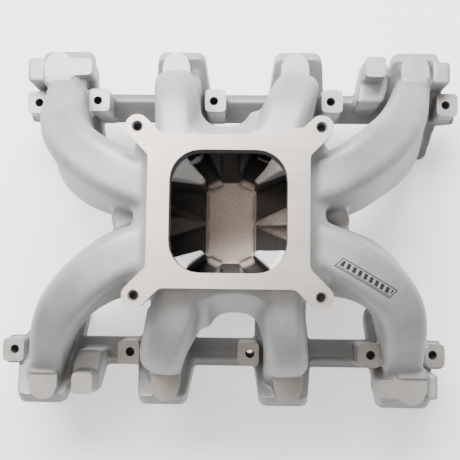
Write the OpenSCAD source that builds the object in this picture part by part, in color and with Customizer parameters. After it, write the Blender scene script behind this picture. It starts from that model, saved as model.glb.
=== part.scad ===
// Single-plane V8 intake manifold with a square-bore carburettor flange and cathedral ports.
// +X is the engine's front, +Y its left bank, +Z up. The origin is on the surface that the
// manifold stands on, under the middle of the carburettor flange. The right bank is the left
// bank turned half a turn about Z, so every sub-part is drawn for the left bank only.

/* [Engine] */
// Distance between neighbouring cylinder bores
bore_spacing = 111.76; // [108:0.01:115]
// How far the left bank's ports sit forward of the middle
bank_offset = 6.1; // [3:0.1:12]
// Height of the carburettor face above the lowest flange edge
carb_face_z = 207; // [200:1:220]

/* [Head flanges] */
// Distance from the middle to the lower edge of each sealing face
face_foot_y = 85; // [80:1:90]
// Length of a port flange along its slope
face_length = 116; // [112:0.1:122]
// Thickness of the flange plates
flange_t = 12; // [10:0.5:14]
// Half width of a port flange
port_flange_hw = 27; // [25:0.5:29]
// Half width of a port flange at its upper tip
port_tip_hw = 22; // [20:0.5:25]
// Half width of the end flanges on the side away from the engine's middle
end_flange_hw = 31; // [29:0.5:32]

/* [Ports] */
// Half width of a cathedral port
port_hw = 13.5; // [12:0.1:15]
// Half height of a cathedral port
port_hh = 40.6; // [38:0.1:42]
// Height of the port centre along the slope
port_s = 58.7; // [57:0.1:60]

/* [Bolt holes] */
// Radius of the clearance holes for the head bolts
bolt_r = 3.55; // [3.2:0.05:4]
// Distance from the middle to a row of head bolts
bolt_y = 119.4; // [117:0.1:122]
// Distance from each port's centre to the bolt ahead of it
bolt_ahead = 31.3; // [30:0.1:33]
// Distance between the two rearmost bolts of the left bank
end_bolt_gap = 59.7; // [58:0.1:62]
// Height of the bolt seats
boss_top_z = 82; // [78:1:86]
// How much lower the outermost bolt seats lie
end_boss_drop = 10; // [6:1:14]

/* [Carburettor flange] */
// Stud spacing along the engine
stud_x = 142.875; // [142:0.005:144]
// Stud spacing across the engine
stud_y = 131.064; // [130:0.002:132]
// Radius of the tapped stud holes, at the tap drill
stud_r = 3.3; // [3:0.05:3.5]
// Thickness of the carburettor flange
carb_t = 12; // [10:0.5:14]

/* [Runners] */
// Wall thickness of the runners
runner_wall = 5; // [4:0.5:6]
// Rings along each runner
runner_rings = 13; // [9:1:17]

/* [Hidden] */
$fn = 32;
corner_steps = 5;
head_angle = 45;
slope = [0, cos(head_angle), sin(head_angle)];
outward = [0, sin(head_angle), -cos(head_angle)];
up = [0, 0, 1];

// Ports, front to rear along the left bank, and the bolts beside them
port_x = [for (i = [0 : 3]) bank_offset + (1.5 - i) * bore_spacing];
bolt_x = concat([for (x = port_x) x + bolt_ahead], [port_x[3] + bolt_ahead - end_bolt_gap]);

// Plenum
plenum_x = 78;
plenum_y = 66;
plenum_top_z = carb_face_z - carb_t;
plenum_foot_z = 93;
floor_t = 7;
floor_top_z = plenum_foot_z + floor_t;
carb_x = 62.8;
carb_y = 59.6;
opening_x = 45.7;
opening_y = 47.6;
opening_r = 24;
ear_r = 9.5;
side_rib = [[-20, plenum_y - 1], [-19, 76], [-13, 79.5], [5, 79.5], [11, 76], [12, plenum_y - 1]];
side_rib_top = 156;

// Runner mouths on the plenum, front to rear along the left bank: the middle of each mouth, the way
// that the runner leaves it, half its width, and how far it holds its way at the mouth and at the port
mouth_z = 143;
mouths = [[plenum_x, 31, mouth_z], [40, plenum_y, mouth_z], [-44, plenum_y, mouth_z], [-plenum_x, 26, mouth_z]];
mouth_ways = [[0.92, 0.39, -0.06], [0.25, 0.95, -0.16], [-0.05, 0.98, -0.16], [-0.94, 0.33, -0.06]];
mouth_hws = [21, 20, 16, 21];
mouth_pull = [66, 34, 34, 75];
port_pull = [48, 36, 36, 52];
port_lean = [0.3, 0.25, 0, -0.16];
mouth_hh = 42;
mouth_r = 13;
mouth_taper = 0.25;

// The well in the plenum's middle: four dividers between the mouths end on its corners
well_x = 21.5;
well_y = 30;
well_neck_x = 8;
well_neck_y = 37;
divider_top_z = 162;

// Raised pads, blocks and bosses on the upper edge of the head flanges
pad_top_z = 97.6;
pad_shift = -3.7;
pad_hw = 13;
pad_inner_y = 137.5;
pad_outer_y = 162;
rail_boss_z = 108.5;
rail_boss = [[122.4, 136], [141, 155]];
end_block_z = 92;
function end_block_box(side, i) = i == 0 && side == "left" ? [192.5, 134.6, 204.5, 156]
    : i == 3 ? [side == "left" ? -196 : -189.5, 134.6, -184, 158] : undef;

// Port seals
seal_gap = 2.6;
seal_w = 3.2;
seal_groove = 3;
seal_proud = 0.8;
seal_clear = 0.15;

function unit(v) = v / norm(v);
function mix(a, b, t) = a + (b - a) * t;
function ease(t) = t * t * (3 - 2 * t);
function bezier(p, t) = pow(1 - t, 3) * p[0] + 3 * t * pow(1 - t, 2) * p[1]
    + 3 * t * t * (1 - t) * p[2] + pow(t, 3) * p[3];
function bezier_way(p, t) = unit(pow(1 - t, 2) * (p[1] - p[0]) + 2 * t * (1 - t) * (p[2] - p[1])
    + t * t * (p[3] - p[2]));

// A quarter round of a section's corner
function quarter(c, r, a) = [for (i = [0 : corner_steps - 1])
    c + r * [cos(a + 90 * i / (corner_steps - 1)), sin(a + 90 * i / (corner_steps - 1))]];
// A runner section: a rectangle with rounded upper and lower corners, narrower at the top by taper
function section(hw, hh, rt, rb, taper) = [for (p = concat(
    quarter([hw - rt, hh - rt], rt, 0), quarter([rt - hw, hh - rt], rt, 90),
    quarter([rb - hw, rb - hh], rb, 180), quarter([hw - rb, rb - hh], rb, 270)))
    [p[0] * (1 - taper * p[1] / hh), p[1]]];
function port_outline(grow) = section(port_hw + grow, port_hh + grow, port_hw - 0.1 + grow, 7 + grow, 0);

// The runner's path from its mouth to the back of its port flange
function port_centre(i, depth) = [port_x[i], face_foot_y, 0] + port_s * slope - depth * outward;
function runner_path(i) = let (
    port_way = unit(outward + [port_lean[i], 0, 0]), port = port_centre(i, flange_t))
    [mouths[i], mouths[i] + mouth_pull[i] * unit(mouth_ways[i]), port - port_pull[i] * port_way, port];
// One ring of a runner's skin at t along its path, grown outward by grow. The first ring lies flat
// on the plenum's side and the last one flat on the port flange. An end runner stops at the middle
// plane, where it meets its twin from the other bank.
function at_end(i) = abs(mouths[i][0]) == plenum_x;
function runner_ring(i, t, grow) = let (
    c = bezier(runner_path(i), t), way = bezier_way(runner_path(i), t), e = ease(t),
    from_mouth = 1 - ease(min(1, t / 0.4)),
    path_side = unit(cross(way, up)),
    wall_side = at_end(i) ? [0, -sign(mouths[i][0]), 0] : [1, 0, 0],
    side = unit(mix(mix(path_side, wall_side, from_mouth), [1, 0, 0], e)),
    rise = unit(mix(mix(cross(path_side, way), up, from_mouth), slope, e)),
    outline = section(mix(mouth_hws[i], port_hw, e) + grow, mix(mouth_hh, port_hh, e) + grow,
        mix(mouth_r, port_hw - 0.1, e) + grow, mix(mouth_r, 7, e) + grow, mix(mouth_taper, 0, e)))
    [for (q = outline) let (p = c + q[0] * side + q[1] * rise) [p[0], max(p[1], 0), p[2]]];

// The corners of all faces between rings of n points: the sides, then the two ends
function loft_faces(n, m) = concat(
    [for (ring = [0 : m - 2], k = [0 : n - 1]) let (a = ring * n, next = (k + 1) % n)
        each [[a + k, a + next, a + n + next], [a + k, a + n + next, a + n + k]]],
    [[for (k = [n - 1 : -1 : 0]) k]], [[for (k = [0 : n - 1]) (m - 1) * n + k]]);

// Draws a solid through a list of rings
module loft(rings) {
    polyhedron([for (r = rings) each r], loft_faces(len(rings[0]), len(rings)), convexity = 6);
}

// Draws a hollow tube whose outer and inner skins are lists of rings
module tube(outer, inner) {
    n = len(outer[0]);
    m = len(outer);
    points = concat([for (r = outer) each r], [for (r = inner) each r]);
    function at(skin, ring, k) = (skin * m + ring) * n + k % n;
    faces = concat(
        [for (ring = [0 : m - 2], k = [0 : n - 1])
            each [[at(0, ring, k), at(0, ring, k + 1), at(0, ring + 1, k + 1)],
                [at(0, ring, k), at(0, ring + 1, k + 1), at(0, ring + 1, k)]]],
        [for (ring = [0 : m - 2], k = [0 : n - 1])
            each [[at(1, ring, k), at(1, ring + 1, k + 1), at(1, ring, k + 1)],
                [at(1, ring, k), at(1, ring + 1, k), at(1, ring + 1, k + 1)]]],
        [for (k = [0 : n - 1])
            each [[at(0, 0, k), at(1, 0, k), at(1, 0, k + 1)], [at(0, 0, k), at(1, 0, k + 1), at(0, 0, k + 1)],
                [at(0, m - 1, k), at(1, m - 1, k + 1), at(1, m - 1, k)],
                [at(0, m - 1, k), at(0, m - 1, k + 1), at(1, m - 1, k + 1)]]]);
    polyhedron(points, faces, convexity = 6);
}

// Draws its children for the left bank, or turned round for the right bank
module bank(side) {
    rotate([0, 0, side == "left" ? 0 : 180]) children();
}

// Places a flat outline, drawn as (x, distance up the slope), on a head's sealing face and
// raises it by t into the flange
module on_face(t, depth = 0) {
    translate(concat([0], [face_foot_y, 0]) - depth * outward)
        rotate([head_angle, 0, 0])
            linear_extrude(t) children();
}

module cast_aluminium() {
    color([0.74, 0.75, 0.75]) children();
}

module carburettor_flange() {
    cast_aluminium() difference() {
        translate([0, 0, plenum_top_z]) linear_extrude(carb_t) difference() {
            carb_outline();
            rounded_square(opening_x, opening_y, opening_r);
        }
        for (x = [-1, 1], y = [-1, 1])
            translate([x * stud_x / 2, y * stud_y / 2, plenum_top_z - 1])
                cylinder(r = stud_r, h = carb_t + 2);
    }
}

module rounded_square(hx, hy, r) {
    hull() for (x = [-1, 1], y = [-1, 1])
        translate([x * (hx - r), y * (hy - r)]) circle(r);
}

// The carburettor flange seen from above: a frame, four ears and a linkage shelf at one ear
module carb_outline() {
    inner_arm = 34;
    shelf = [[36, carb_y - 1], [41, 65], [60, 65], [60, carb_y - 1]];
    offset(r = -7) offset(delta = 7) {
        rounded_square(carb_x, carb_y, 3);
        for (x = [-1, 1], y = [-1, 1]) hull() {
            translate([x * stud_x / 2, y * stud_y / 2]) circle(ear_r);
            translate([x * (stud_x / 2 - inner_arm), y * (stud_y / 2 - inner_arm)]) circle(ear_r);
        }
        polygon(shelf);
    }
}

// A plenum level: a rounded block from low to high
module plenum_block(low_z, high_z, inset_low, inset_high, r) {
    hull() for (level = [[low_z, inset_low], [high_z, inset_high]])
        translate([0, 0, level[0] - (level[0] == high_z ? 1 : 0)]) linear_extrude(1)
            rounded_square(plenum_x - level[1], plenum_y - level[1], r);
}

// The air way from one edge of the plenum's well to a runner's mouth
module mouth_core(i) {
    out = [sign(mouths[i][0]), sign(mouths[i][1])];
    near = at_end(i) ? [out[0] * well_x, 2.5] : [out[0] * well_neck_x, well_neck_y];
    far = [out[0] * well_x, well_y];
    along = unit(far - near) * (out[0] * (at_end(i) ? -1 : 1));
    middle = (near + far) / 2 - unit(near + far);
    start_top_z = plenum_top_z - 6;
    outline = section(norm(far - near) / 2, (start_top_z - floor_top_z) / 2, 2, 2, 0);
    loft([[for (q = outline) [middle[0] + q[0] * along[0], middle[1] + q[0] * along[1],
            (floor_top_z + start_top_z) / 2 + q[1]]],
        [for (p = runner_ring(i, 0, 0)) p + 0.5 * unit(mouth_ways[i])]]);
}

// The well below the carburettor opening, between the ends of the dividers
module well(grow) {
    polygon([for (s = [[1, 1], [-1, 1], [-1, -1], [1, -1]])
        let (neck = [s[0] * (well_neck_x + grow), s[1] * (well_neck_y + grow)],
            corner = [s[0] * (well_x + grow), s[1] * (well_y + grow)])
        each s[0] * s[1] > 0 ? [corner, neck] : [neck, corner]]);
}

module plenum_body() {
    wall_corner = 8;
    shoulder_z = 190;
    cast_aluminium() difference() {
        union() {
            plenum_block(floor_top_z, shoulder_z, 0, 0, wall_corner);
            plenum_block(shoulder_z - 1, plenum_top_z, 0, 5, wall_corner);
            for (side = ["left", "right"]) bank(side)
                translate([0, 0, floor_top_z]) linear_extrude(side_rib_top - floor_top_z) polygon(side_rib);
        }
        translate([0, 0, floor_top_z - 1]) linear_extrude(70) well(0);
        hull() {
            translate([0, 0, divider_top_z]) linear_extrude(1) well(0);
            translate([0, 0, plenum_top_z - 4]) linear_extrude(5)
                rounded_square(opening_x, opening_y, opening_r);
        }
        for (side = ["left", "right"], i = [0 : 3]) bank(side) mouth_core(i);
    }
}

module plenum_floor() {
    cast_aluminium() plenum_block(plenum_foot_z, floor_top_z, 6, 0, 8);
}

module runner(i) {
    ts = [for (k = [0 : runner_rings - 1]) k / (runner_rings - 1)];
    cast_aluminium() tube([for (t = ts) runner_ring(i, t, runner_wall)],
        [for (t = ts) runner_ring(i, t, 0)]);
}

// The outline of one port flange, as (x, distance up the slope) about its port's centre line
module port_flange_outline(i) {
    foot_r = 12;
    tip_r = 6;
    shoulder_s = 72;
    // The end flanges are wider on the side away from the engine's middle
    ahead = i == 0 ? end_flange_hw : port_flange_hw;
    behind = i == 3 ? end_flange_hw : port_flange_hw;
    tip_ahead = i == 3 ? port_flange_hw : port_tip_hw;
    hull() {
        for (x = [-1, 1]) translate([x * (port_flange_hw - foot_r), foot_r]) circle(foot_r);
        translate([1 - behind, shoulder_s - 20]) square([ahead + behind - 2, 20]);
        translate([tip_r - port_tip_hw, face_length - tip_r]) circle(tip_r);
        translate([tip_ahead - tip_r, face_length - tip_r]) circle(tip_r);
    }
}

// The block beside an end port's pad: the front one of the right bank is machined away
module end_block(side, i, top) {
    box = end_block_box(side, i);
    translate([box[0], box[1], 0]) cube([box[2] - box[0], box[3] - box[1], top]);
}

// The bolt pillars, each wider on the side away from its port
module bolt_boss_columns(top, end_top) {
    near = 8.5;
    far = 11.5;
    for (k = [0 : 4])
        translate([bolt_x[k] - (k < 4 ? near : far), 109, 0])
            cube([near + far, 22, k == 0 || k == 4 ? end_top : top]);
}

// The space above a head's sealing face
module above_face() {
    on_face(200) translate([-260, -60]) square([520, 260]);
}

module port_flange(i, side) {
    cast_aluminium() difference() {
        union() {
            on_face(flange_t) translate([port_x[i], 0]) port_flange_outline(i);
            if (is_list(end_block_box(side, i))) intersection() {
                above_face();
                end_block(side, i, end_block_z);
            }
        }
        on_face(40, -1) translate([port_x[i], port_s]) polygon(port_outline(0));
        on_face(seal_groove + 1, -1) translate([port_x[i], port_s]) seal_ring(0);
        bolt_boss_columns(carb_face_z, carb_face_z);
        if (i == 0) rail_boss_column();
    }
}

// The ring of a port seal, or of its groove, around the middle of a port
module seal_ring(clear) {
    difference() {
        polygon(port_outline(seal_gap + seal_w - clear));
        polygon(port_outline(seal_gap + clear));
    }
}

module port_seal(i) {
    color([0.78, 0.36, 0.12])
        on_face(seal_groove + seal_proud, -seal_proud) translate([port_x[i], port_s]) seal_ring(seal_clear);
}

// The strips of flange between the ports, and the short ends past the last ones
module flange_rail() {
    low_s = 43;
    high_s = 70;
    front_end = 221;
    rear_end = -206;
    edges = concat([[port_x[0] + end_flange_hw, front_end]],
        [for (i = [0 : 2]) [port_x[i + 1] + port_flange_hw, port_x[i] - port_flange_hw]],
        [[rear_end, port_x[3] - end_flange_hw]]);
    cast_aluminium() difference() {
        on_face(flange_t) {
            for (e = edges) translate([e[0], low_s]) square([e[1] - e[0], high_s - low_s]);
        }
        bolt_boss_columns(carb_face_z, carb_face_z);
    }
}

module bolt_bosses() {
    cast_aluminium() difference() {
        intersection() {
            above_face();
            bolt_boss_columns(boss_top_z, boss_top_z - end_boss_drop);
        }
        for (x = bolt_x) translate([x, bolt_y, 10]) cylinder(r = bolt_r, h = boss_top_z);
    }
}

module pad_outline(i) {
    x = port_x[i] + pad_shift;
    translate([x - pad_hw, pad_inner_y]) square([2 * pad_hw, pad_outer_y - pad_hw - pad_inner_y]);
    translate([x, pad_outer_y - pad_hw]) circle(pad_hw);
    // The rearmost pad reaches forward as a ledge
    if (i == 3) translate([x, 139.5]) square([32, 16.5]);
}

// The middle of a runner's roof at t along its path, as (y, z)
function roof_point(i, t) = let (ring = runner_ring(i, t, runner_wall),
    p = (ring[corner_steps - 1] + ring[corner_steps]) / 2) [p[1], p[2]];

module injector_pad(i, side) {
    far_y = pad_outer_y + 1;
    back_rise = flange_t / cos(head_angle) - face_foot_y;
    roof = [for (k = [12 : 20]) roof_point(i, k / 20)];
    // Seen from the side: above the runner's roof and the flange's back
    profile = concat(roof, [[far_y, far_y + back_rise], [far_y, carb_face_z], [roof[0][0], carb_face_z]]);
    cast_aluminium() difference() {
        intersection() {
            linear_extrude(pad_top_z) pad_outline(i);
            rotate([90, 0, 90]) translate([0, 0, -plenum_x * 3]) linear_extrude(plenum_x * 6) polygon(profile);
        }
        if (is_list(end_block_box(side, i))) end_block(side, i, carb_face_z);
    }
}

module rail_boss_column() {
    translate([rail_boss[0][0], rail_boss[0][1], 0])
        cube([rail_boss[1][0] - rail_boss[0][0], rail_boss[1][1] - rail_boss[0][1], rail_boss_z]);
}

module fuel_rail_boss() {
    web = [[118, 118], [122.4, 157], [147, 157], [147, 131], [142, 118]];
    cast_aluminium() difference() {
        intersection() {
            above_face();
            union() {
                rail_boss_column();
                linear_extrude(86) polygon(web);
            }
        }
        on_face(flange_t + 60, -1) translate([0, -1]) square([250, 71]);
        on_face(flange_t, 0) translate([port_x[0], 0]) port_flange_outline(0);
    }
}

carburettor_flange();
plenum_body();
plenum_floor();
for (side = ["left", "right"], i = [0 : 3]) {
    number = side == "left" ? 2 * i + 1 : 8 - 2 * i;
    bank(side) runner(i);
    bank(side) port_flange(i, side);
    bank(side) injector_pad(i, side);
    bank(side) port_seal(i);
}
for (side = ["left", "right"]) {
    bank(side) flange_rail();
    bank(side) bolt_bosses();
    bank(side) fuel_rail_boss();
}
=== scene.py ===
import math

import bmesh
import bpy
from mathutils import Matrix, Vector


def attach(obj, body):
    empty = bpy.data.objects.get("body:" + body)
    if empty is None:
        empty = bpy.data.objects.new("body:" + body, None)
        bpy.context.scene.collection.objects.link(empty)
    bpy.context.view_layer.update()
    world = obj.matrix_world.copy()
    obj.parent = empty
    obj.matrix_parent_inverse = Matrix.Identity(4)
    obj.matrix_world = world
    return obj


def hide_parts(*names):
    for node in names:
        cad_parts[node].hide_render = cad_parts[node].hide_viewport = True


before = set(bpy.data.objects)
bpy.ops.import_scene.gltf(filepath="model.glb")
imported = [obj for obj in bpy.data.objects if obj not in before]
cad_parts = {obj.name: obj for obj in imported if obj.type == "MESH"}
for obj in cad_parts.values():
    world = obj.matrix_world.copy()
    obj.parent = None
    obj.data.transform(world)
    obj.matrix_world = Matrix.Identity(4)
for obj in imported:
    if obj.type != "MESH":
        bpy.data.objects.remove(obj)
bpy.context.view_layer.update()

# ---------------------------------------------------------------------------------------------
# The plenum, the chamber under the carburettor: the middle of one aluminium sand casting.
# The pattern is built in millimetres from closed blocks that overlap. Its shoulders are eased,
# and a rib stands on each long side between the two inner runners.
# ---------------------------------------------------------------------------------------------
pattern = bmesh.new()
PLENUM_X, PLENUM_Y = 78.0, 66.0
FOOT_Z, FLOOR_Z, SHOULDER_Z, PLENUM_TOP = 93.0, 100.0, 178.0, 195.0


def prism(bm, outline, radius, at, rise, shrink=0.0):
    """A block raised from a round-cornered outline. at(x, y) places a point of the outline."""
    before = set(bm.faces)
    verts = [bm.verts.new(at(x, y)) for x, y in outline]
    bm.faces.new(verts)
    if radius:
        bmesh.ops.bevel(bm, geom=verts, offset=radius, offset_type="OFFSET", segments=6, profile=0.5,
                        affect="VERTICES", material=-1, clamp_overlap=True)
    grown = bmesh.ops.extrude_face_region(bm, geom=[f for f in bm.faces if f not in before])["geom"]
    top = [g for g in grown if isinstance(g, bmesh.types.BMVert)]
    bmesh.ops.translate(bm, vec=Vector(rise), verts=top)
    if shrink:
        centre = sum((v.co for v in top), Vector()) / len(top)
        for v in top:
            v.co -= Vector([math.copysign(min(shrink, abs(d)), d) for d in (v.co - centre)[:2]] + [0])
    return [f for f in bm.faces if f not in before]


def block(bm, x0, x1, y0, y1, z0, z1, radius=0.0, shrink=0.0):
    return prism(bm, [(x0, y0), (x1, y0), (x1, y1), (x0, y1)], radius, lambda x, y: (x, y, z0),
                 (0, 0, z1 - z0), shrink)


def upright(bm, outline, z0, z1, radius=0.0):
    return prism(bm, outline, radius, lambda x, y: (x, y, z0), (0, 0, z1 - z0))


def half_turn(bm, faces):
    """The right bank's copy of a left-bank shape: the same, turned half a turn about Z."""
    geom = bmesh.ops.duplicate(bm, geom=faces)["geom"]
    bmesh.ops.rotate(bm, cent=(0, 0, 0), matrix=Matrix.Rotation(math.pi, 3, "Z"),
                     verts=[g for g in geom if isinstance(g, bmesh.types.BMVert)])
    return [g for g in geom if isinstance(g, bmesh.types.BMFace)]


block(pattern, -PLENUM_X, PLENUM_X, -PLENUM_Y, PLENUM_Y, FLOOR_Z, SHOULDER_Z, 8)
block(pattern, -PLENUM_X, PLENUM_X, -PLENUM_Y, PLENUM_Y, SHOULDER_Z - 1, PLENUM_TOP, 8, 13)
block(pattern, 6 - PLENUM_X, PLENUM_X - 6, 6 - PLENUM_Y, PLENUM_Y - 6, FOOT_Z, FLOOR_Z + 1, 8, -6)
SIDE_RIB = [(-40, 60), (-40, 93), (-26, 92), (-23, 85.5), (-18, 81.5), (-11, 79.5), (1, 79.5), (7, 81),
            (12.5, 85), (17, 93), (32, 93), (32, 60)]
half_turn(pattern, upright(pattern, SIDE_RIB, FLOOR_Z + 4, 150))
brow = upright(pattern, SIDE_RIB, 149, 188)
for v in {v for f in brow for v in f.verts if v.co.z > 180}:
    v.co.y = 56 + (v.co.y - 60) * 0.35
half_turn(pattern, brow)

# ---------------------------------------------------------------------------------------------
# Eight runners carry the mixture from the plenum to the ports. Each is swept along its own
# curve, tall and tapered at its mouth, then slim and upright on the port. The corner runners
# of each end grow out of one web.
# ---------------------------------------------------------------------------------------------
PORT_X = [6.1 + (1.5 - i) * 111.76 for i in range(4)]
FOOT_Y, FLANGE_T, FACE_LENGTH = 85.0, 12.0, 116.0
PORT_HW, PORT_HH, PORT_S = 13.5, 40.6, 58.7
SLOPE = Vector((0, 1, 1)).normalized()
OUTWARD = Vector((0, 1, -1)).normalized()
UP = Vector((0, 0, 1))
MOUTHS = [Vector((78, 31, 143)), Vector((40, 66, 143)), Vector((-44, 66, 143)), Vector((-78, 26, 143))]
MOUTH_WAYS = [Vector((0.92, 0.39, -0.06)).normalized(), Vector((0.25, 0.95, -0.16)).normalized(),
              Vector((-0.05, 0.98, -0.16)).normalized(), Vector((-0.94, 0.33, -0.06)).normalized()]
MOUTH_HWS = [21, 20, 16, 21]
MOUTH_HH, MOUTH_R, MOUTH_TAPER = 42.0, 13.0, 0.25
PORT_TAPER = [0.1, 0.26, 0, 0.08]         # outside only, where the passage is upright
MOUTH_PULL = [66, 34, 34, 75]
PORT_PULL = [48, 36, 36, 52]
PORT_LEAN = [0.3, 0.25, 0, -0.16]
WALL = 5.0
ROOF_R = 11.0                             # the roof's outer corners
BELLY = 0.12                              # how much a corner runner swells on the side of the notch
STEPS = 24


def on_face(x, along, depth=0.0):
    """A point at x, that far up the left bank's sealing face, and that deep in its flange."""
    return Vector((x, FOOT_Y, 0)) + along * SLOPE - depth * OUTWARD


def ease(t):
    t = min(1.0, max(0.0, t))
    return t * t * (3 - 2 * t)


def section(hw, hh, r_top, r_low, taper):
    """A runner's section: upright, round-cornered, and narrower at the top."""
    points = []
    for q, (sx, sy, r) in enumerate(((1, 1, r_top), (-1, 1, r_top), (-1, -1, r_low), (1, -1, r_low))):
        for k in range(10):
            a = math.radians(90 * (q + k / 9))
            x, y = sx * (hw - r) + r * math.cos(a), sy * (hh - r) + r * math.sin(a)
            points.append((x * (1 - taper * y / hh), y))
    return points


def runner_ring(i, t, grow, pinch=0.0):
    """Runner i's skin at t, from its mouth (0) to its flange (1), grown by that much."""
    port = on_face(PORT_X[i], PORT_S, FLANGE_T)
    lean = (OUTWARD + Vector((PORT_LEAN[i], 0, 0))).normalized()
    p = [MOUTHS[i], MOUTHS[i] + MOUTH_PULL[i] * MOUTH_WAYS[i], port - PORT_PULL[i] * lean, port]
    u = 1 - t
    c = u ** 3 * p[0] + 3 * t * u * u * p[1] + 3 * t * t * u * p[2] + t ** 3 * p[3]
    way = (u * u * (p[1] - p[0]) + 2 * t * u * (p[2] - p[1]) + t * t * (p[3] - p[2])).normalized()
    e = ease(t)
    at_end = i in (0, 3)
    wall_side = Vector((0, -math.copysign(1, MOUTHS[i].x), 0)) if at_end else Vector((1, 0, 0))
    path_side = way.cross(UP).normalized()
    from_mouth = 1 - ease(t / 0.4)
    side = path_side.lerp(wall_side, from_mouth).lerp(Vector((1, 0, 0)), e).normalized()
    rise = path_side.cross(way).lerp(UP, from_mouth).lerp(SLOPE, e).normalized()
    roof_r = (ROOF_R, ROOF_R) if grow else (MOUTH_R, PORT_HW - 0.1)
    size = [a + (b - a) * e for a, b in ((MOUTH_HWS[i], PORT_HW), (MOUTH_HH, PORT_HH), roof_r,
                                         (MOUTH_R, 7), (MOUTH_TAPER, PORT_TAPER[i] if grow else 0))]
    swell = BELLY * ease((t + 0.05) / 0.15) * (1 - ease((t - 0.12) / 0.22))
    belly = 1 + swell if grow else 1 - pinch * from_mouth
    ring = []
    for x, y in section(size[0] + grow, size[1] + grow, size[2], size[3] + grow, size[4]):
        if at_end and x > 0:
            x *= belly
        ring.append(c + x * side + y * rise)
    return ring


def sweep(bm, rings, belt=False):
    """One closed skin through rings that all have as many points. A belt's last ring meets its first."""
    before = set(bm.faces)
    loops = []
    for points in rings:
        loop = bmesh.ops.create_circle(bm, radius=1, segments=len(points))["verts"]
        loop.sort(key=lambda v: math.atan2(v.co.y, v.co.x))
        for v, p in zip(loop, points):
            v.co = p
        loops.append(loop)
    edges = [[bm.edges.get((a, b)) for a, b in zip(loop, loop[1:] + loop[:1])] for loop in loops]
    for low, high in zip(edges, edges[1:] + edges[:1] if belt else edges[1:]):
        bmesh.ops.bridge_loops(bm, edges=low + high)
    for end in () if belt else (edges[0], edges[-1]):
        bmesh.ops.contextual_create(bm, geom=end)
    return [f for f in bm.faces if f not in before]


for i in range(4):
    rings = [runner_ring(i, k / STEPS, WALL) for k in range(STEPS + 1)]
    rings = [[p - 24 * MOUTH_WAYS[i] for p in rings[0]]] + rings + [[p + 6 * OUTWARD for p in rings[-1]]]
    half_turn(pattern, sweep(pattern, rings))
END_WEB = [(66, -22), (92, -17), (100, -9), (103.5, 0), (100, 9), (92, 17), (66, 22)]
half_turn(pattern, upright(pattern, END_WEB, 104, 146, 3))


def solid(name, bm):
    """An object in the scene from a bmesh of closed shells."""
    mesh = bpy.data.meshes.new(name)
    bmesh.ops.recalc_face_normals(bm, faces=bm.faces)
    bm.to_mesh(mesh)
    bm.free()
    obj = bpy.data.objects.new(name, mesh)
    bpy.context.scene.collection.objects.link(obj)
    return obj


def worked(obj, *steps):
    """Runs modifiers on an object and keeps the result as its mesh."""
    for kind, settings in steps:
        modifier = obj.modifiers.new(kind.lower(), kind)
        for key, value in settings.items():
            setattr(modifier, key, value)
    mesh = bpy.data.meshes.new_from_object(obj.evaluated_get(bpy.context.evaluated_depsgraph_get()))
    obj.modifiers.clear()
    obj.data = mesh
    return obj


def melted(name, bm, rounds, size):
    """One skin over overlapping shells, its corners softened by that many rounds of smoothing."""
    return worked(solid(name, bm), ("REMESH", dict(mode="VOXEL", voxel_size=size)),
                  ("SMOOTH", dict(factor=0.5, iterations=rounds)))


# The runners flow into the plenum with wide fillets, so these melt together first
body = melted("body", pattern, 10, 2.0)
pattern = bmesh.new()
pattern.from_mesh(body.data)
bpy.data.objects.remove(body)

# ---------------------------------------------------------------------------------------------
# The head flanges bolt to the cylinder heads at 45 degrees. Each bank has four port flanges
# joined by a rail, all one plate with the casting, with metal to spare for the milling cutter.
# ---------------------------------------------------------------------------------------------
SPARE = 4.0
RAIL_S = (43.0, 70.0)
RAIL_ENDS = (-206.0, 221.0)
for i in range(4):
    ahead, behind, tip = (31 if i == 0 else 27), (31 if i == 3 else 27), (27 if i == 3 else 22)
    outline = [(-26, 0), (26, 0), (ahead, 50), (ahead, 72), (tip, FACE_LENGTH), (-22, FACE_LENGTH),
               (-behind, 72), (-behind, 50)]
    half_turn(pattern, prism(pattern, outline, 7, lambda a, s: on_face(PORT_X[i] + a, s, -SPARE),
                             -(FLANGE_T + SPARE) * OUTWARD))
rail = [(RAIL_ENDS[0], RAIL_S[0]), (RAIL_ENDS[1], RAIL_S[0]),
        (RAIL_ENDS[1], RAIL_S[1]), (RAIL_ENDS[0], RAIL_S[1])]
half_turn(pattern, prism(pattern, rail, 3, lambda x, s: on_face(x, s, -SPARE), -(FLANGE_T + SPARE) * OUTWARD))

# ---------------------------------------------------------------------------------------------
# Cast lumps on the flanges: ten bolt bosses, eight pads where injectors could be fitted, two
# fuel rail bosses with their webs, and the square blocks on the outer corners.
# ---------------------------------------------------------------------------------------------
BOLT_X = [x + 31.3 for x in PORT_X] + [PORT_X[3] + 31.3 - 59.7]
BOLT_Y = 119.4
BOSS_Z = [72, 82, 82, 82, 72]
BOSS_SPAN = [(x - 8.5, x + 11.5) for x in BOLT_X[:4]] + [(BOLT_X[4] - 11.5, BOLT_X[4] + 8.5)]
PAD_Z, PAD_HW = 97.6, 13.0
RAIL_BOSS_Z = 108.5
LUMP_SPARE = 3.0
PAD_X = [x - 3.7 for x in PORT_X]


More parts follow.
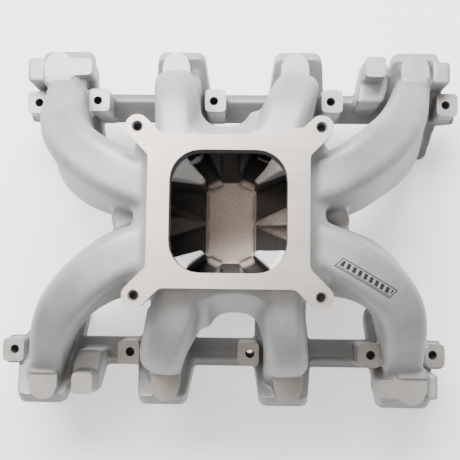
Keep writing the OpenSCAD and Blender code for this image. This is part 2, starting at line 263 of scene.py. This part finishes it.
def lumps(bm):
    faces = []
    for (x0, x1), top in zip(BOSS_SPAN, BOSS_Z):
        faces += block(bm, x0, x1, 109, 131, 28, top + LUMP_SPARE, 3.5)
    for i, x in enumerate(PAD_X):
        outline = [(x - PAD_HW, 130), (x + PAD_HW, 130), (x + PAD_HW, 150), (x + 9, 158.5), (x + 3, 162),
                   (x - 3, 162), (x - 9, 158.5), (x - PAD_HW, 150)]
        faces += upright(bm, outline, 62, PAD_Z + LUMP_SPARE, 2)
    faces += block(bm, PAD_X[3], PAD_X[3] + 32, 139.5, 156, 62, PAD_Z + LUMP_SPARE, 4)
    faces += block(bm, 122.4, 141, 136, 155, 60, RAIL_BOSS_Z + LUMP_SPARE, 3)
    faces += upright(bm, [(118, 118), (142, 118), (147, 131), (147, 157), (122.4, 157)], 50, 86, 3)
    return faces


half_turn(pattern, lumps(pattern))
block(pattern, 188, 204.5, 134.6, 156, 56, 92, 3)
block(pattern, -196, -180, 134.6, 158, 56, 92, 3)
block(pattern, 180, 189.5, -158, -134.6, 56, 92, 3)

# ---------------------------------------------------------------------------------------------
# The carburettor flange: a thick square-bore plate on the plenum's top, with a lug for a stud
# at each corner and a small shelf beside one lug. Its upper face is milled and brushed.
# ---------------------------------------------------------------------------------------------
CARB_Z = 207.0
STUDS = (142.875 / 2, 131.064 / 2)
LUG_R = 9.5
block(pattern, -62.8, 62.8, -59.6, 59.6, PLENUM_TOP - 2, CARB_Z + SPARE, 3)
upright(pattern, [(34, 50), (62, 50), (62, 65), (41, 65)], PLENUM_TOP, CARB_Z + SPARE, 2)
LUG = [(-5, -1), (1, -1), (1, 1), (-5, 1)]                      # in lug radii, along its arm and across
GUSSET = [(-3.2, -0.8), (0.55, -0.8), (0.55, 0.8), (-3.2, 0.8)]
for sx in (-1, 1):
    for sy in (-1, 1):
        def on_arm(u, v):
            return (sx * (STUDS[0] + (u - v) * LUG_R * math.sqrt(0.5)),
                    sy * (STUDS[1] + (u + v) * LUG_R * math.sqrt(0.5)), PLENUM_TOP)
        prism(pattern, LUG, 0.98 * LUG_R, on_arm, (0, 0, CARB_Z - PLENUM_TOP + SPARE))
        prism(pattern, GUSSET, 4, on_arm, (-5 * sx, -5 * sy, -24))

# ---------------------------------------------------------------------------------------------
# The pour. The pattern's blocks melt into one skin, and every inside corner fills to a fillet.
# ---------------------------------------------------------------------------------------------
SKIN = 1.6                                # size of the skin's facets

casting = melted("casting", pattern, 6, SKIN)

# ---------------------------------------------------------------------------------------------
# The sand cores leave the plenum's funnel, the well under it and the eight passages. Their
# rough skin shows on the floor, where the mouths part along saddles.
# ---------------------------------------------------------------------------------------------
core = bmesh.new()
OPENING = (45.7, 47.6, 24.0)
WELL = [(21.5, 30), (8, 37), (-8, 37), (-21.5, 30), (-21.5, -30), (-8, -37), (8, -37), (21.5, -30)]
upright(core, WELL, FLOOR_Z, 166)
opening = [(-OPENING[0], -OPENING[1]), (OPENING[0], -OPENING[1]), OPENING[:2], (-OPENING[0], OPENING[1])]
upright(core, opening, 187, CARB_Z + 8, OPENING[2])
funnel = upright(core, WELL, 162, 191)
hull_points = [v for v in {v for f in funnel for v in f.verts} if v.co.z < 170]
rim = upright(core, opening, 190, 192, OPENING[2])
hull_points += [v for v in {v for f in rim for v in f.verts} if v.co.z > 191]
cone = bmesh.new()
for v in hull_points:
    cone.verts.new(v.co)
bmesh.ops.convex_hull(cone, input=cone.verts)
bmesh.ops.delete(core, geom=list({v for f in funnel + rim for v in f.verts}), context="VERTS")
funnel_mesh = bpy.data.meshes.new("funnel")
cone.to_mesh(funnel_mesh)
cone.free()
core.from_mesh(funnel_mesh)
for i in range(4):
    sx, sy = math.copysign(1, MOUTHS[i].x), 1
    near = Vector((sx * 22.5, 3)) if i in (0, 3) else Vector((sx * 8, 37))
    far = Vector((sx * 23, 28.3)) if i in (0, 3) else Vector((sx * 19.7, 31.7))
    along = (far - near).normalized() * (sx * (-1 if i in (0, 3) else 1))
    middle = (near + far) / 2 - (near + far).normalized() * 1.5
    low, high = 96.5, PLENUM_TOP - 2
    start = [Vector((*(middle + x * along), (low + high) / 2 + y))
             for x, y in section((far - near).length / 2, (high - low) / 2, 2, 2, 0)]
    rings = [start] + [runner_ring(i, k / STEPS, 0, 0.72) for k in range(STEPS + 1)]
    rings.append([p + 30 * OUTWARD for p in rings[-1]])
    half_turn(core, sweep(core, rings))
saddle_x = [(19, 101), (60, 134), (60, 160), (46, 189), (19, 189)]
saddle_y = [(33, 101), (56, 138), (56, 160), (46, 189), (33, 189)]
half_turn(core, prism(core, saddle_x, 0, lambda x, z: (x, -16, z), (0, 32, 0)))
half_turn(core, prism(core, saddle_y, 0, lambda y, z: (-8, y, z), (15, 0, 0)))
gallery = [(34, 146), (58, 146), (58, 165), (47, 193), (34, 193)]
half_turn(core, prism(core, gallery, 0, lambda y, z: (-20, y, z), (38, 0, 0)))
core = melted("core", core, 2, 1.3)


def cut(obj, tool, operation="DIFFERENCE"):
    worked(obj, ("BOOLEAN", dict(object=tool, operation=operation, solver="MANIFOLD")))
    return obj


# ---------------------------------------------------------------------------------------------
# The machine shop. The carburettor face and both sealing faces are milled flat, then the lumps'
# seats. Head bolt holes are drilled through, stud holes tapped, and seal grooves cut.
# ---------------------------------------------------------------------------------------------
CAST, MILLED, CORED, SEATED = range(4)
BOLT_R, STUD_R, STUD_FOOT_Z, THREAD_PITCH = 3.55, 3.3, 196.5, 1.4
GROOVE = (2.6, 5.8, 3.0)                  # how far out from the port its sides lie, and its depth


def drill(bm, x, y, profile):
    """A round tool upright at x, y. The profile gives its radii and heights."""
    rings = [[Vector((x + r * math.cos(a), y + r * math.sin(a), z)) for a in
              (math.tau * k / 32 for k in range(32))] for r, z in profile]
    return sweep(bm, rings)


def port_loop(i, grow, depth):
    """The port's outline, grown by that much, at a depth in the flange."""
    outline = section(PORT_HW + grow, PORT_HH + grow, PORT_HW - 0.1 + grow, 7 + grow, 0)
    return [on_face(PORT_X[i] + x, PORT_S + y, depth) for x, y in outline]


milling = bmesh.new()
block(milling, -130, 130, -120, 120, CARB_Z, CARB_Z + 20)
half_turn(milling, prism(milling, [(-260, -40), (260, -40), (260, 180), (-260, 180)], 0,
                         lambda x, s: on_face(x, s, 0), 40 * OUTWARD))
seats = [(*span, 108, 132, top) for span, top in zip(BOSS_SPAN, BOSS_Z)]
seats[4] = (BOSS_SPAN[4][0] - 1, -185, 108, 132, BOSS_Z[4])
seats += [(x - 15, x + (34 if i == 3 else 15), 137.5, 164, PAD_Z) for i, x in enumerate(PAD_X)]
seats.append((121, 142.4, 134.6, 157, RAIL_BOSS_Z))
facing = bmesh.new()
for x0, x1, y0, y1, z in seats:
    half_turn(facing, block(facing, x0, x1, y0, y1, z, z + 12))
drilling = bmesh.new()
for x, top in zip(BOLT_X, BOSS_Z):
    hole = [(BOLT_R, 10), (BOLT_R, top - 0.7), (BOLT_R + 1.4, top + 0.7)]
    half_turn(drilling, drill(drilling, x, BOLT_Y, hole))
turns = int((CARB_Z - STUD_FOOT_Z) / THREAD_PITCH)
thread = [(STUD_R + 0.45 * (k % 2), STUD_FOOT_Z + k * THREAD_PITCH / 2) for k in range(2 * turns)]
thread += [(STUD_R, CARB_Z - 1.2), (STUD_R + 2.2, CARB_Z + 1)]
for sx in (-1, 1):
    for sy in (-1, 1):
        drill(drilling, sx * STUDS[0], sy * STUDS[1], thread)
grooving = bmesh.new()
for i in range(4):
    loops = [port_loop(i, grow, depth) for grow, depth in
             ((GROOVE[0], -1), (GROOVE[0], GROOVE[2]), (GROOVE[1], GROOVE[2]), (GROOVE[1], -1))]
    half_turn(grooving, sweep(grooving, loops, belt=True))

# ---------------------------------------------------------------------------------------------
# The metal's four skins: bead-blasted sand casting outside, with painted shade low down, milled faces with fine
# tool lines, scuffed seats on the lumps, and the brown, gritty skin that the cores leave inside, with painted
# shade in its passages and holes and painted light on its floor, posts and ridges.
# ---------------------------------------------------------------------------------------------


class Wire:
    """An output in a material. Arithmetic on it adds Math nodes, and add() any other node."""

    def __init__(self, tree, socket=None):
        self.tree, self.socket = tree, socket

    def add(self, kind, settings=None, inputs=None, output=0):
        node = self.tree.nodes.new(kind)
        for key, value in (settings or {}).items():
            if key == "stops":
                while len(node.color_ramp.elements) < len(value):
                    node.color_ramp.elements.new(0.5)
                for stop, (place, colour) in zip(node.color_ramp.elements, value):
                    stop.position, stop.color = place, (*colour, 1)
            else:
                setattr(node, key, value)
        for key, value in (inputs or {}).items():
            if isinstance(value, Wire):
                self.tree.links.new(value.socket, node.inputs[key])
            else:
                node.inputs[key].default_value = value
        return Wire(self.tree, node.outputs[output]) if node.outputs else node

    def maths(self, operation, a, b=0.0):
        return self.add("ShaderNodeMath", {"operation": operation}, {0: a, 1: b})

    def __add__(self, other): return self.maths("ADD", self, other)
    def __radd__(self, other): return self.maths("ADD", other, self)
    def __sub__(self, other): return self.maths("SUBTRACT", self, other)
    def __rsub__(self, other): return self.maths("SUBTRACT", other, self)
    def __mul__(self, other): return self.maths("MULTIPLY", self, other)
    def __rmul__(self, other): return self.maths("MULTIPLY", other, self)
    def __gt__(self, other): return self.maths("GREATER_THAN", self, other)
    def __lt__(self, other): return self.maths("LESS_THAN", self, other)
    def __abs__(self): return self.maths("ABSOLUTE", self)

    def noise(self, scale, detail=2.0, roughness=0.5):
        return self.add("ShaderNodeTexNoise", None, {"Vector": self, "Scale": scale, "Detail": detail,
                                                    "Roughness": roughness})

    def ramp(self, low, high):
        return self.add("ShaderNodeMapRange", {"clamp": True},
                        {"Value": self, "From Min": low, "From Max": high})

    def blend(self, first, second):
        return self.add("ShaderNodeMix", {"data_type": "RGBA"}, {0: self, 6: first, 7: second}, 2)

    def bump(self, distance, strength):
        return self.add("ShaderNodeBump", None, {"Height": self, "Distance": distance, "Strength": strength})


def material(name, metallic):
    """A new material, its object coordinates, and a call that finishes it from its varying parts."""
    made = bpy.data.materials.new(name)
    made.use_nodes = True
    made.node_tree.nodes.clear()
    start = Wire(made.node_tree)
    at = start.add("ShaderNodeTexCoord", output=3)

    def finish(colour, roughness, normal, glow=0.0):
        shader = start.add("ShaderNodeBsdfPrincipled", None, {
            "Base Color": colour, "Metallic": metallic, "Roughness": roughness, "Normal": normal,
            "Emission Color": (1, 1, 1, 1), "Emission Strength": glow})
        start.add("ShaderNodeOutputMaterial", None, {"Surface": shader})
        made.diffuse_color = (0.7, 0.7, 0.7, 1)
        return made
    return at, finish


def blasted(name):
    """Bead-blasted aluminium: a fine even grain, faint clouds, and painted shade low down beside the rails."""
    at, finish = material(name, 0.55)
    grain = at.noise(1500, 3, 0.6)
    sand = at.noise(420, 2, 0.5)
    clouds = at.noise(26, 3, 0.55)
    tone = (clouds * 0.5 + grain * 0.35 + sand * 0.15).ramp(0.3, 0.7)
    # Painted shade: below about 62 mm up, the cast colour is made darker and browner, over the rails and the
    # flanges' feet
    low_painted_shade = (0.062 - at.add("ShaderNodeSeparateXYZ", None, {0: at}, 2) + clouds * 0.01).ramp(0, 0.016)
    cast_tone = tone.blend((0.28, 0.284, 0.287, 1), (0.46, 0.465, 0.468, 1))
    painted_shade_tone = tone.blend((0.11, 0.106, 0.10, 1), (0.20, 0.194, 0.184, 1))
    colour = (low_painted_shade * 0.75).blend(cast_tone, painted_shade_tone)
    return at, colour, 0.5 + clouds * 0.12 + grain * 0.06, (grain * 0.6 + sand * 0.7).bump(0.0004, 0.28), finish


at, colour, roughness, normal, finish = blasted("cast_aluminium")
cast_aluminium = finish(colour, roughness, normal)

# One corner runner carries a plain etched tab: a thin frame round a row of slanted strokes
at, colour, roughness, normal, finish = blasted("marked_aluminium")
east, north, height = (at.add("ShaderNodeSeparateXYZ", None, {0: at}, axis) for axis in range(3))
across = (east - 0.1098) * 0.48 + (north + 0.0498) * 0.877
along = (east - 0.1098) * 0.877 - (north + 0.0498) * 0.48 - across * 0.35
tab = (abs(along) < 0.0262) * (abs(across) < 0.0046)
inside = (abs(along) < 0.0253) * (abs(across) < 0.0038)
slant = (along + across * 0.4) * 190
strokes = (slant.maths("FRACT", slant) > 0.42) * (abs(along) < 0.0240) * (abs(across - 0.0005) < 0.0024)
line = (abs(along) < 0.0240) * (abs(across + 0.0029) < 0.0003)
etched = (tab * (1 - inside) + inside * (strokes + line)) * (height > 0.13)   # on the top only
marked_aluminium = finish(etched.blend(colour, (0.035, 0.033, 0.03, 1)), roughness + etched * 0.2, normal)

at, finish = material("milled_aluminium", 0.85)
brushed = at.add("ShaderNodeVectorMath", {"operation": "MULTIPLY"}, {0: at, 1: (22, 1500, 1500)})
lines = brushed.noise(1.0, 4, 0.65)
passes = at.noise(30, 2, 0.5)
tone = (lines * 0.65 + passes * 0.35).ramp(0.3, 0.7)
milled_aluminium = finish(tone.blend((0.46, 0.415, 0.375, 1), (0.64, 0.585, 0.53, 1)), 0.3 + lines * 0.22,
                          lines.bump(0.0001, 0.25))

at, finish = material("cored_aluminium", 0.3)
grit = at.noise(900, 4, 0.7)
pits = at.noise(330, 2, 0.6)
stain = at.noise(35, 3, 0.6)
x, y, z = (at.add("ShaderNodeSeparateXYZ", None, {0: at}, axis) for axis in range(3))
wide, long = abs(x), abs(y)
speck = (grit * 0.55 + pits * 0.25 + stain * 0.2).ramp(0.34, 0.66)
# Painted light: the floor under the opening is made much lighter, where light falls through it; its brown,
# gritty tone is its own
on_floor = (0.0225 - wide).ramp(0, 0.0012) * (0.048 - long - wide * 0.5).ramp(0, 0.004) \
    * (0.105 - z).ramp(0, 0.003)
# Painted light and shade on the saddles: their gritty skin is made lighter towards +X and darker towards -X
on_saddle = (0.003 + (wide - 0.021) * 0.42 - long).ramp(0, 0.003) * (wide - 0.0205).ramp(0, 0.002) \
    * (0.15 - z).ramp(0, 0.03)
# Painted highlight: a thin light-grey line along the floor's two ridges, where the mouths part
ridge = (0.0009 - abs(wide - 0.0223)).ramp(0, 0.0006) * (0.034 - long).ramp(0, 0.003) \
    * (0.104 - z).ramp(0, 0.002)
# Painted light: the posts' upper faces, lit from above, are made light grey
on_post = (z - 0.155 + stain * 0.008).ramp(0, 0.012) * (wide - 0.0185).ramp(0, 0.001) \
    * (long - 0.0265).ramp(0, 0.001)
collar = (z - 0.1885).ramp(0, 0.001)
# Painted shade: the rest of the cored faces, in the passages, the well's walls and the drilled holes, are made
# near black
cored_painted_shade = speck.blend((0.045, 0.042, 0.04, 1), (0.10, 0.095, 0.09, 1))
floor_skin_and_painted_light = speck.blend((0.50, 0.425, 0.385, 1), (0.95, 0.84, 0.77, 1))
# The saddles' gritty skin, with painted light and shade across X
saddle_skin_and_painted_light = (speck * (0.5 + x * 9)).blend((0.16, 0.14, 0.125, 1), (0.85, 0.76, 0.70, 1))
collar_skin = speck.blend((0.10, 0.105, 0.115, 1), (0.20, 0.205, 0.215, 1))
# Painted light: the light grey of the ridge highlight and of the lit posts
painted_light_grey = speck.blend((0.55, 0.55, 0.54, 1), (0.80, 0.80, 0.79, 1))
colour = ridge.blend(on_saddle.blend(on_floor.blend(cored_painted_shade, floor_skin_and_painted_light), saddle_skin_and_painted_light), painted_light_grey)
colour = collar.blend(on_post.blend(colour, painted_light_grey), collar_skin)
cored_aluminium = finish(colour, 0.6 + grit * 0.2, (grit * 0.6 + pits).bump(0.0008, 0.5))

at, finish = material("faced_aluminium", 0.6)
scuff = at.noise(1200, 3, 0.6)
patch = at.noise(60, 2, 0.5)
tone = (scuff * 0.5 + patch * 0.5).ramp(0.32, 0.68)
faced_aluminium = finish(tone.blend((0.31, 0.297, 0.282, 1), (0.43, 0.415, 0.395, 1)), 0.42 + scuff * 0.14,
                         scuff.bump(0.0002, 0.2))
SKINS = [cast_aluminium, milled_aluminium, cored_aluminium, faced_aluminium]


def skinned(obj, index=None):
    """Gives an object the four skins, and all its faces one of them."""
    for skin in SKINS:
        obj.data.materials.append(skin)
    if index is not None:
        obj.data.polygons.foreach_set("material_index", [index] * len(obj.data.polygons))
    return obj


skinned(casting, CAST)
cut(casting, skinned(core, CORED))
cut(casting, skinned(solid("milling", milling), MILLED))
cut(casting, skinned(solid("facing", facing), SEATED))
cut(casting, skinned(solid("drilling", drilling), CORED))
cut(casting, skinned(solid("grooving", grooving), MILLED))

# ---------------------------------------------------------------------------------------------
# The finished casting is parted along its joints into the named pieces, which lie face to face.
# At the rails' outer ends and the feet of the inner ribs, two pieces share a thin slice of it.
# ---------------------------------------------------------------------------------------------
FAR = 260.0
REAR_LINE = -3.0                          # between the two inner runners of the left bank


def tool(*shapes):
    """A boolean tool from prisms: the first ones joined, and those marked "less" taken away."""
    result = None
    for mode, draw in shapes:
        bm = bmesh.new()
        draw(bm)
        piece = solid("tool", bm)
        if result is None:
            result = piece
        else:
            cut(result, piece, "UNION" if mode == "plus" else "DIFFERENCE")
            bpy.data.objects.remove(piece)
    return result


def part_off(source, name, territory, node, turned=False):
    """The part of the source inside a territory, as the piece that stands for that node."""
    piece = bpy.data.objects.new(name, source.data.copy())
    bpy.context.scene.collection.objects.link(piece)
    if turned:
        territory.data.transform(Matrix.Rotation(math.pi, 4, "Z"))
    cut(piece, skinned(territory), "INTERSECT")
    bpy.data.objects.remove(territory)
    piece.data.transform(Matrix.Scale(0.001, 4))
    piece.data.shade_smooth()
    piece.data.set_sharp_from_angle(angle=math.radians(38))
    if node == "runner_2":
        piece.data.materials[CAST] = marked_aluminium
    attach(piece, "root")
    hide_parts(node)


def box_of(*sides):
    return lambda bm: block(bm, *sides)


def inner_ribs(bm):
    half_turn(bm, block(bm, -17, 10, 60, 84, 60, PLENUM_TOP))


# The carburettor flange, the plenum's body and its floor
top_layer = box_of(-FAR, FAR, -FAR, FAR, PLENUM_TOP, FAR)
part_off(casting, "carb_flange_plate", tool(("plus", top_layer)), "carburettor_flange")
FLOOR_PART_Z = FLOOR_Z + 1.5              # just above the floor, so that the floor's skin is whole
plenum_sides = (-PLENUM_X, PLENUM_X, -PLENUM_Y, PLENUM_Y)
chamber = box_of(*plenum_sides, FLOOR_PART_Z, PLENUM_TOP)
part_off(casting, "plenum_chamber", tool(("plus", chamber), ("plus", inner_ribs)), "plenum_body")
part_off(casting, "plenum_base", tool(("plus", box_of(*plenum_sides, 40, FLOOR_PART_Z))), "plenum_floor")


def plate(x0, x1):
    """The flange plate's own layer between two places along the bank."""
    return lambda bm: prism(bm, [(x0, -30), (x1, -30), (x1, 160), (x0, 160)], 0,
                            lambda x, s: on_face(x, s, -8), -(FLANGE_T + 9) * OUTWARD)


boss_boxes = [("plus", box_of(a - 0.5, b + 0.5, 108.4, 131.6, 20, 110)) for a, b in BOSS_SPAN]
pad_boxes = [box_of(x - 14, x + (33.5 if i == 3 else 14), 137.5, 170, 40, 120) for i, x in enumerate(PAD_X)]
rail_boss_box = box_of(115, 150, 115, 165, 30, 120)
corner_boxes = [box_of(PAD_X[0] + 14, FAR, 131.6, 170, 40, 120), None, None,
                box_of(-FAR, PAD_X[3] - 14, 131.6, 170, 40, 120)]
rail_gaps = [(PORT_X[0] + 31, FAR), (PORT_X[1] + 27, PORT_X[0] - 27), (PORT_X[2] + 27, PORT_X[1] - 27),
             (PORT_X[3] + 27, PORT_X[2] - 27), (-FAR, PORT_X[3] - 31)]
port_spans = [(PORT_X[i] - (31 if i == 3 else 27), PORT_X[i] + (31 if i == 0 else 27)) for i in range(4)]
runner_fields = [[(78, 1.2), (FAR, 1.2), (FAR, 180), (134, 180), (78, 66)],
                 [(REAR_LINE, 0), (78, 0), (78, 66), (134, 180), (REAR_LINE, 180)],
                 [(-78, 0), (REAR_LINE, 0), (REAR_LINE, 180), (-134, 180), (-78, 66)],
                 [(-FAR, -1.2), (-78, -1.2), (-78, 66), (-134, 180), (-FAR, 180)]]
for side in ("left", "right"):
    turned = side == "right"
    others = [("less", box_of(*plenum_sides, 20, FAR)), ("less", inner_ribs), ("less", plate(-FAR, FAR)),
              ("less", rail_boss_box)]
    others += [("less", draw) for _, draw in boss_boxes] + [("less", draw) for draw in pad_boxes]
    others += [("less", draw) for draw in corner_boxes if draw]
    for i in range(4):
        number = 8 - 2 * i if turned else 2 * i + 1
        field = ("plus", lambda bm: upright(bm, runner_fields[i], -20, PLENUM_TOP))
        part_off(casting, f"runner_tube_{number}", tool(field, *others), f"runner_{number}", turned)
        flange = [("plus", plate(*port_spans[i]))]
        if corner_boxes[i]:
            flange.append(("plus", corner_boxes[i]))
        part_off(casting, f"port_face_plate_{number}", tool(*flange), f"port_flange_{number}", turned)
        pad = tool(("plus", pad_boxes[i]), ("less", plate(-FAR, FAR)))
        part_off(casting, f"injector_seat_{number}", pad, f"injector_pad_{number}", turned)
    gaps = [("plus", plate(*gap)) for gap in rail_gaps]
    part_off(casting, f"rail_{side}", tool(*gaps), f"flange_rail_{side}", turned)
    bosses = tool(*boss_boxes, ("less", plate(-FAR, FAR)))
    part_off(casting, f"head_bolt_lugs_{side}", bosses, f"bolt_bosses_{side}", turned)
    boss = tool(("plus", rail_boss_box), ("less", plate(-FAR, FAR)))
    part_off(casting, f"fuel_rail_lug_{side}", boss, f"fuel_rail_boss_{side}", turned)
for used_up in ("casting", "core", "milling", "facing", "drilling", "grooving"):
    bpy.data.objects.remove(bpy.data.objects[used_up])

# ---------------------------------------------------------------------------------------------
# Eight rubber seals lie in the grooves of the port faces and stand a little proud of them, to
# be squeezed against the heads. Each is one moulded ring with a rounded bead on its crown.
# ---------------------------------------------------------------------------------------------
at, finish = material("seal_rubber", 0.0)
dust = at.noise(700, 3, 0.6)
bloom = at.noise(60, 2, 0.5)
tone = (dust * 0.4 + bloom * 0.6).ramp(0.3, 0.7)
seal_rubber = finish(tone.blend((0.50, 0.16, 0.035, 1), (0.62, 0.22, 0.06, 1)), 0.5 + dust * 0.15,
                     dust.bump(0.0002, 0.2))
SEAL = [(2.75, 2.95), (2.75, 0.1), (3.2, -0.45), (3.9, -0.78), (4.2, -0.8), (4.5, -0.78), (5.2, -0.45),
        (5.65, 0.1), (5.65, 2.95)]
for side in ("left", "right"):
    for i in range(4):
        number = 2 * i + 1 if side == "left" else 8 - 2 * i
        bm = bmesh.new()
        sweep(bm, [port_loop(i, grow, depth) for grow, depth in SEAL], belt=True)
        seal = solid(f"seal_ring_{number}", bm)
        seal.data.transform(Matrix.Scale(0.001, 4) @ Matrix.Rotation(0 if side == "left" else math.pi, 4, "Z"))
        seal.data.materials.append(seal_rubber)
        seal.data.shade_smooth()
        seal.data.set_sharp_from_angle(angle=math.radians(50))
        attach(seal, "root")
        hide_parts(f"port_seal_{number}")

# ---------------------------------------------------------------------------------------------
# The bench: a pale floor, soft studio light that is strongest from the left bank's side, and
# the camera above the manifold.
# ---------------------------------------------------------------------------------------------
at, finish = material("pale_floor", 0.0)
tone = at.noise(14, 3, 0.5).ramp(0.3, 0.7)
pale_floor = finish(tone.blend((0.86, 0.86, 0.86, 1), (0.90, 0.90, 0.90, 1)), 0.8 + tone * 0.05,
                    at.noise(300, 2, 0.5).bump(0.0002, 0.05), 0.8)
bm = bmesh.new()
bmesh.ops.create_grid(bm, x_segments=4, y_segments=4, size=2.5)
bmesh.ops.translate(bm, vec=(0, 0, -0.0005), verts=bm.verts)
floor = solid("floor", bm)
floor.data.materials.append(pale_floor)

world = bpy.data.worlds.new("studio")
world.use_nodes = True
world.node_tree.nodes["Background"].inputs["Color"].default_value = (1.0, 1.0, 1.0, 1)
world.node_tree.nodes["Background"].inputs["Strength"].default_value = 0.22
bpy.context.scene.world = world


def soft_light(name, place, aim, size, power, colour):
    lamp = bpy.data.lights.new(name, "AREA")
    lamp.shape, lamp.size, lamp.size_y = "RECTANGLE", *size
    lamp.energy, lamp.color = power, colour
    obj = bpy.data.objects.new(name, lamp)
    obj.location = place
    obj.rotation_euler = (Vector(aim) - Vector(place)).to_track_quat("-Z", "Y").to_euler()
    bpy.context.scene.collection.objects.link(obj)


soft_light("key", (-0.25, 0.8, 1.15), (0, 0.03, 0.1), (1.3, 0.5), 68, (0.98, 0.99, 1.0))
soft_light("fill", (0.4, -0.9, 1.2), (0, 0, 0.1), (1.2, 0.8), 4, (1.0, 0.98, 0.96))
soft_light("warm", (-0.42, 0.12, 1.6), (-0.05, 0, 0.2), (0.5, 0.9), 8, (1.0, 0.84, 0.70))

turn = Vector((math.radians(-4.693), math.radians(-1.361), math.radians(-0.694)))
look = Matrix.Rotation(turn.length, 4, turn.normalized()).transposed()
lens = bpy.data.cameras.new("camera")
lens.sensor_width, lens.lens, lens.clip_start, lens.clip_end = 36, 36 * 698.6 / 460, 0.01, 20
camera = bpy.data.objects.new("camera", lens)
camera.matrix_world = Matrix.Translation((0.01455, -0.05825, 0.7388)) @ look
bpy.context.scene.collection.objects.link(camera)
bpy.context.scene.camera = camera
